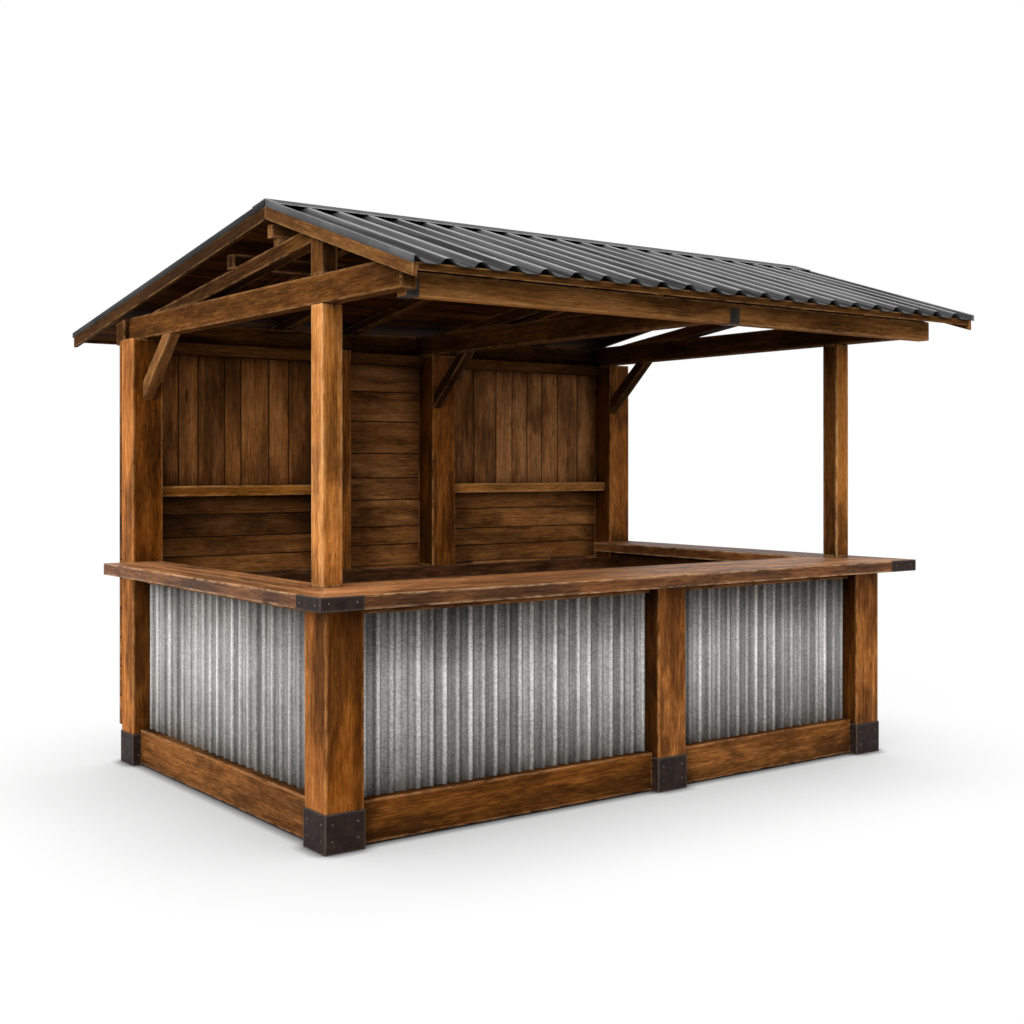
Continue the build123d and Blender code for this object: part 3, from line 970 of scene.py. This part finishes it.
# The shelves and head plates: single planks let in between the back posts, one
# at arm's height in each wide bay and one under the roof in every bay.
shelf_stain = stain(
    "shelf_stain",
    deep=(0.20, 0.072, 0.019),
    mid=(0.46, 0.180, 0.047),
    pale=(0.68, 0.300, 0.090),
    worn_colour=(0.75, 0.40, 0.15),
    blotch=0.35,
)
put_up(
    "back_shelf_planks",
    [ease(s) for s in solids_of("back_shelves")],
    shelf_stain,
    "counter_timber",
    "back_shelves",
)
# The head plates take a dark set tone: painted shade under the roof.
HEAD_PLATE_SHADE = -1.0
plates = [ease(s, BOARD_EASED, SEAM_MARGIN) for s in solids_of("back_top_plates")]
for plate in plates:
    plate["tone_and_light"] = HEAD_PLATE_SHADE
put_up("back_head_plates", plates, wall_stain, "wall_timber", "back_top_plates")


# The two upper posts: lighter stock that stands on the counter and carries the
# outer tie beams.
upper_stain = stain(
    "upper_post_stain",
    deep=(0.22, 0.074, 0.021),
    mid=(0.56, 0.215, 0.062),
    pale=(0.80, 0.36, 0.125),
    worn_colour=(0.88, 0.50, 0.22),
    blotch=0.55,
)
upper_posts = [ease(s) for s in solids_of("front_upper_posts")]
# The left post's left side is painted light and the right post's left side painted shade under the
# roof.
for post, (left_face_light, other_faces_light) in zip(upper_posts, ((0.95, 0.2), (-1.3, -0.2))):
    paint_side_light(post, LEFT, left_face_light, other_faces_light)
put_up("upper_posts_timber", upper_posts, upper_stain, "posts_timber", "front_upper_posts")


# The tie beams, knee braces and small trusses: the roof's frame, nailed through
# where the pieces cross. The nails have rusted and bled a little.
NAIL_RADIUS = 0.0065
NAIL_RISE = 0.0015
NAIL_HEIGHTS = (0.28, 0.66)
STRUT_NAIL_OFF = 0.02
POST_NAIL_OFF = 0.03
nail_finish = plate_finish(
    "rusted_nails", (0.012, 0.008, 0.006), (0.035, 0.018, 0.012), (0.06, 0.022, 0.010), 0.7, 0.2
)
roof_stain = stain(
    "roof_stain",
    deep=(0.080, 0.030, 0.009),
    mid=(0.210, 0.083, 0.026),
    pale=(0.39, 0.168, 0.056),
    worn_colour=(0.50, 0.26, 0.11),
    blotch=0.5,
    wear=0.45,
    rough=0.8,
    gloss=0.05,
)
# A lighter copy of the roof stain for the front eave beam: painted light on a beam that sits in
# the roof's shade.
lit_beam_stain = stain(
    "eave_beam_lit_stain",
    deep=(0.16, 0.058, 0.017),
    mid=(0.46, 0.195, 0.062),
    pale=(0.70, 0.33, 0.12),
    worn_colour=(0.75, 0.42, 0.18),
    blotch=0.45,
    rough=0.8,
    gloss=0.05,
)
# The set tones below are painted light and shade: members that the light reaches, the knee braces,
# the ridge beam and the front eave beam, are lighter; those in the shade under the roof, the
# chords, the rafters and the back purlin, are darker, and the tie beams darker the further right
# they stand.
FRAME_EASED = 0.003
TONE_SPREAD = 0.15
STRUT_LIGHT = 0.1
STRUT_SHADED_SIDES = -1.2
INNER_BRACE_SHADE = -2.6
INNER_FRAMES_FROM = cad_low[0] + 1
frame_light_tones = {
    "left_tie_beam": -0.35,
    "middle_tie_beam": -0.7,
    "right_tie_beam": -1.2,
    "knee_braces": 1.2,
    "truss_members": -0.8,
    "ridge_beam": 1.3,
    "back_purlin": -1.5,
    "rafters": -0.5,
    "front_eave_beam": 0.5,
    "back_eave_beam": -0.3,
}
for node, node_light in frame_light_tones.items():
    timbers = []
    for solid in solids_of(node):
        low, high = span_of(solid)
        upright = high.z - low.z > max(high.x - low.x, high.y - low.y)
        strut = upright and node == "truss_members"
        timber = ease(solid, eased=FRAME_EASED)
        # Each member takes its set tone of painted light and shade, with a little random spread;
        # the struts' left sides are painted light and their other sides painted shade, and the
        # inner knee braces are painted darker still.
        timber["tone_and_light"] = (STRUT_LIGHT if strut else node_light) + TONE_SPREAD * timber["tone_and_light"]
        if strut:
            paint_side_light(timber, LEFT, timber["tone_and_light"], STRUT_SHADED_SIDES)
        if node == "knee_braces" and timber["verts"][0].x > INNER_FRAMES_FROM:
            timber["tone_and_light"] += INNER_BRACE_SHADE
        timbers.append(timber)
    finish = lit_beam_stain if node == "front_eave_beam" else roof_stain
    put_up(node + "_timber", timbers, finish, "roof_timber", node)
tie_low, tie_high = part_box("left_tie_beam")
post_low, post_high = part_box("front_upper_posts")
back_post_low, back_post_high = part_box("back_left_post")
strut_y = (post_low.y + post_high.y) / 2
back_y = (back_post_low.y + back_post_high.y) / 2
nails = []
for tie_node, way in (("left_tie_beam", LEFT), ("right_tie_beam", RIGHT)):
    low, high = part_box(tie_node)
    face_x = low.x if way == LEFT else high.x
    for y in (strut_y - STRUT_NAIL_OFF, back_y - POST_NAIL_OFF):
        for part in NAIL_HEIGHTS:
            z = tie_low.z + (tie_high.z - tie_low.z) * part
            nails.append(screw_head((face_x, y, z), way, NAIL_RADIUS, NAIL_RISE))
put_up("frame_nails", nails, nail_finish, "dark_steel")


# The roof boards: thin sawn boards laid along the stall on the rafters, edge to
# edge, rough on the underside that shows.
ROOF_BOARD = 0.145
ROOF_UNEVEN = 0.08
ROOF_STRAY = 0.0008
board_stain = stain(
    "roof_board_stain",
    deep=(0.030, 0.0090, 0.0024),
    mid=(0.105, 0.034, 0.0095),
    pale=(0.22, 0.080, 0.024),
    worn_colour=(0.012, 0.004, 0.0015),
    blotch=0.6,
    wear=0.9,
    rough=0.85,
    gloss=0.03,
    seam=True,
)
for node in ("front_roof_boards", "back_roof_boards"):
    low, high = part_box(node)
    seams = even_places(low.y, high.y, ROOF_BOARD, ROOF_UNEVEN)
    boards = [b for s in solids_of(node) for b in sawn(s, BACK, seams)]
    eased = [ease(b, BOARD_EASED, BOARD_MARGIN, ROOF_STRAY) for b in boards]
    put_up(node + "_laid", eased, board_stain, "roof_timber", node)


# The barge boards and fascias: slim boards of a lighter cut that close the
# gables and the eaves under the sheet.
trim_stain = stain(
    "trim_stain",
    deep=(0.10, 0.037, 0.011),
    mid=(0.185, 0.074, 0.022),
    pale=(0.32, 0.145, 0.048),
    worn_colour=(0.52, 0.28, 0.11),
    blotch=0.4,
    rough=0.75,
    gloss=0.06,
)
FASCIA_DRIP = 0.007
trim_tones = {"barge_boards": (0.9, -1.0), "eave_fascias": (-0.8, -0.8)}
ridge_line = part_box("front_roof_boards")[1].y
for node, (front_tone, back_tone) in trim_tones.items():
    solids = solids_of(node)
    if node == "eave_fascias":
        for solid in solids:
            lower_edge(solid, FASCIA_DRIP)
    trim = [ease(s, BOARD_EASED, BOARD_MARGIN) for s in solids]
    for board in trim:
        at_front = board["verts"][0].y < ridge_line
        board["tone_and_light"] = front_tone if at_front else back_tone
    put_up(node + "_trim", trim, trim_stain, "trim_timber", node)


# The roof sheets: coated steel, roll-formed with narrow ribs that run down each
# slope, turned down at the gables, capped at the ridge and screwed through the
# ribs.
RIBS = 22
RIB_RISE = 0.025
# Across one rib: the offset, the height, and a value that the finish turns into rubbing with
# painted highlight where it is above nought and into dirt with painted shade where it is below;
# the rib's right side is darker than its left.
RIB_LINE = (
    (-0.062, 0.0, 0.1),
    (-0.046, 0.0, -0.6),
    (-0.042, 0.0002, -1.0),
    (-0.039, 0.0020, -0.6),
    (-0.017, 0.0212, 0.0),
    (-0.013, 0.0240, 1.0),
    (-0.007, RIB_RISE, 1.0),
    (0.007, RIB_RISE, 0.3),
    (0.013, 0.0240, 0.0),
    (0.017, 0.0212, -0.5),
    (0.039, 0.0020, -1.0),
    (0.042, 0.0002, -1.0),
    (0.046, 0.0, -0.6),
    (0.062, 0.0, 0.1),
)
VERGE = 0.006
VERGE_BEND = 0.003
BEND_STEP = 0.001
VERGE_CLEAR = 0.002
ROOF_SHEET = 0.0028
SLOPE_STEPS = 6
board_low, board_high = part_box("front_roof_boards")
roof_low, roof_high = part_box("front_roof_sheet")
back_low, back_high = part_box("back_roof_sheet")
under_boards = 0.023
under_sheet = 0.003
ridge_y = board_high.y
ridge_z = board_high.z + under_sheet
front_fall = (ridge_z - board_low.z - under_boards) / (ridge_y - board_low.y)
eave_z = ridge_z - front_fall * (ridge_y - roof_low.y)
back_fall = (ridge_z - eave_z) / (back_high.y - ridge_y)
rib_pitch = (roof_high.x - roof_low.x) / RIBS


def coated_finish(name, dark, light, rubbed, rough):
    """Dark coated steel, dulled by weather: runs down the slope, rubbed rib edges lit with painted
    highlights, and painted shade with dirt at the rib feet.
    """
    finish, t = new_material(name)
    place = wire(t, "ShaderNodeTexCoord").outputs["Object"]
    wear_and_painted_light = attribute(t, "wear_and_painted_light")
    run = clouds(t, stretched(t, place, 48.0, 0.9, 0.9), 1.0, 6.0, 0.7)
    dust = clouds(t, place, 210.0, 4.0, 0.7)
    colour = ramp(t, run, (0.36, dark), (0.64, light))
    # Painted highlight, with rubbing, where the sheet's value is above nought, in the rubbed
    # colour.
    polish_and_highlight = maths(t, "MULTIPLY", maths(t, "MULTIPLY", wear_and_painted_light, 1.5), run, clamp=True)
    colour = mix(t, "MIX", polish_and_highlight, colour, (*rubbed, 1))
    # Painted shade, with dirt, where the sheet's value is below nought.
    darkening = maths(t, "MULTIPLY", wear_and_painted_light, -0.85, clamp=True)
    colour = mix(t, "MIX", darkening, colour, (*[c * 0.25 for c in dark], 1))
    speck = rescaled(t, dust, 0.3, 0.7, 0.78, 1.22)
    colour = wire(t, "ShaderNodeHueSaturation", Value=speck, Color=colour).outputs[0]
    surface(
        t, dust, 0.12, 0.0006, Base_Color=colour, Roughness=rough, Specular_IOR_Level=0.12
    )
    return finish


def slope_sheet(ridge_side, eave_y, fall, leg_rub_and_light):
    """One roof slope: the rolled profile swept down, with a skin below and verges."""
    upright = (1 + fall**2) ** 0.5
    across = [
        (roof_low.x, -VERGE, leg_rub_and_light),
        (roof_low.x, RIB_RISE - VERGE_BEND, leg_rub_and_light),
        (roof_low.x + BEND_STEP, RIB_RISE - BEND_STEP, 1.0),
    ]
    for rib in range(RIBS + 1):
        for off, up, rub_and_light in RIB_LINE:
            x = roof_low.x + rib * rib_pitch + off
            if roof_low.x + VERGE_CLEAR < x < roof_high.x - VERGE_CLEAR:
                across.append((x, up, rub_and_light))
    across += [(roof_low.x + roof_high.x - x, up, rub_and_light) for x, up, rub_and_light in across[2::-1]]
    rows = [ridge_side + (eave_y - ridge_side) * i / SLOPE_STEPS for i in range(SLOPE_STEPS + 1)]
    skin, under = [], []
    for y in rows:
        flat = ridge_z - fall * abs(y - ridge_y)
        skin.append([Vector((x, y, flat + up * upright)) for x, up, rub_and_light in across])
        line = [point - Vector((0, 0, ROOF_SHEET)) for point in skin[-1]]
        for i, side in ((0, 1), (1, 1), (2, 1), (-1, -1), (-2, -1), (-3, -1)):
            drop = 0 if i in (0, -1) else ROOF_SHEET
            line[i] = skin[-1][i] + Vector((side * ROOF_SHEET, 0, -drop))
        under.append(line)
    wide = len(across)
    verts = [point for line in skin + under for point in line]
    half = len(verts) // 2
    faces = []
    for r in range(len(rows) - 1):
        for c in range(wide - 1):
            a = r * wide + c
            quad = [a, a + 1, a + wide + 1, a + wide]
            faces.append(quad if eave_y > ridge_side else quad[::-1])
            lower = [half + i for i in quad]
            faces.append(lower[::-1] if eave_y > ridge_side else lower)
    for row in (0, len(rows) - 1):
        for c in range(wide - 1):
            a = row * wide + c
            faces.append([a, half + a, half + a + 1, a + 1])
    for c in (0, wide - 1):
        for r in range(len(rows) - 1):
            a = r * wide + c
            faces.append([a, a + wide, half + a + wide, half + a])
    wear_and_painted_light = [rub_and_light for line in skin + under for x, up, rub_and_light in across]
    return {"verts": verts, "faces": faces, "grain": verts, "wear_and_painted_light": wear_and_painted_light, "tone_and_light": 0.5}


def facing_out(piece):
    """Turns every face of a closed shape outwards."""
    shell = bmesh.new()
    shell.from_mesh(piece.data)
    bmesh.ops.recalc_face_normals(shell, faces=shell.faces[:])
    shell.to_mesh(piece.data)
    shell.free()


coated = coated_finish(
    "dark_coated_steel", (0.022, 0.022, 0.024), (0.150, 0.149, 0.155), (0.50, 0.50, 0.51), 0.6
)
# The front sheet's verge legs take a little painted highlight and the back sheet's painted shade.
front_sheet = slope_sheet(roof_high.y, roof_low.y, front_fall, 0.3)
back_sheet = slope_sheet(back_low.y, back_high.y, back_fall, -0.7)
facing_out(put_up("front_ribbed_sheet", [front_sheet], coated, "roof_sheet", "front_roof_sheet"))
facing_out(put_up("back_ribbed_sheet", [back_sheet], coated, "roof_sheet", "back_roof_sheet"))
FOLD_EASED = 0.001
CAP_MARGIN = 0.010
put_up(
    "folded_ridge_cap",
    [ease(s, FOLD_EASED, CAP_MARGIN, stray=0) for s in solids_of("ridge_cap")],
    coated,
    "roof_sheet",
    "ridge_cap",
)
ROOF_SCREW = 0.007
ROOF_SCREW_RISE = 0.0035
front_rows = (0.18, 0.62, 1.10)
back_rows = (0.18, 0.90, 1.60, 2.28)
heads = []
for side, fall, rows in ((-1, front_fall, front_rows), (1, back_fall, back_rows)):
    up = Vector((0, side * fall, 1)).normalized()
    for off in rows:
        for rib in range(1, RIBS, 2):
            x = roof_low.x + rib * rib_pitch
            crown = (x, ridge_y + side * off, ridge_z - fall * off + RIB_RISE)
            heads.append(screw_head(crown, up, ROOF_SCREW, ROOF_SCREW_RISE))
put_up("roof_screws", heads, coated, "roof_sheet")


# The eave straps: bent galvanised strip that ties the eave beam to the frame,
# with two nails in each leg.
STRAP_NAILS_ACROSS = (0.3, 0.75)
STRAP_NAIL_DROP = 0.02
STRAP_NAIL = 0.005
STRAP_NAIL_RISE = 0.002
strap_finish = plate_finish(
    "dull_strap_steel", (0.030, 0.027, 0.024), (0.075, 0.068, 0.060), (0.060, 0.038, 0.024), 0.6
)
straps = solids_of("eave_straps")
heads = []
for strap in straps:
    low, high = span_of(strap)
    for part in STRAP_NAILS_ACROSS:
        place = (low.x + (high.x - low.x) * part, low.y, high.z - STRAP_NAIL_DROP)
        heads.append(screw_head(place, FORWARD, STRAP_NAIL, STRAP_NAIL_RISE))
put_up(
    "eave_strap_plates",
    [ease(s, FOLD_EASED, PLATE_MARGIN, stray=0) for s in straps],
    strap_finish,
    "strap_steel",
    "eave_straps",
)
put_up("strap_nails", heads, strap_finish, "strap_steel")
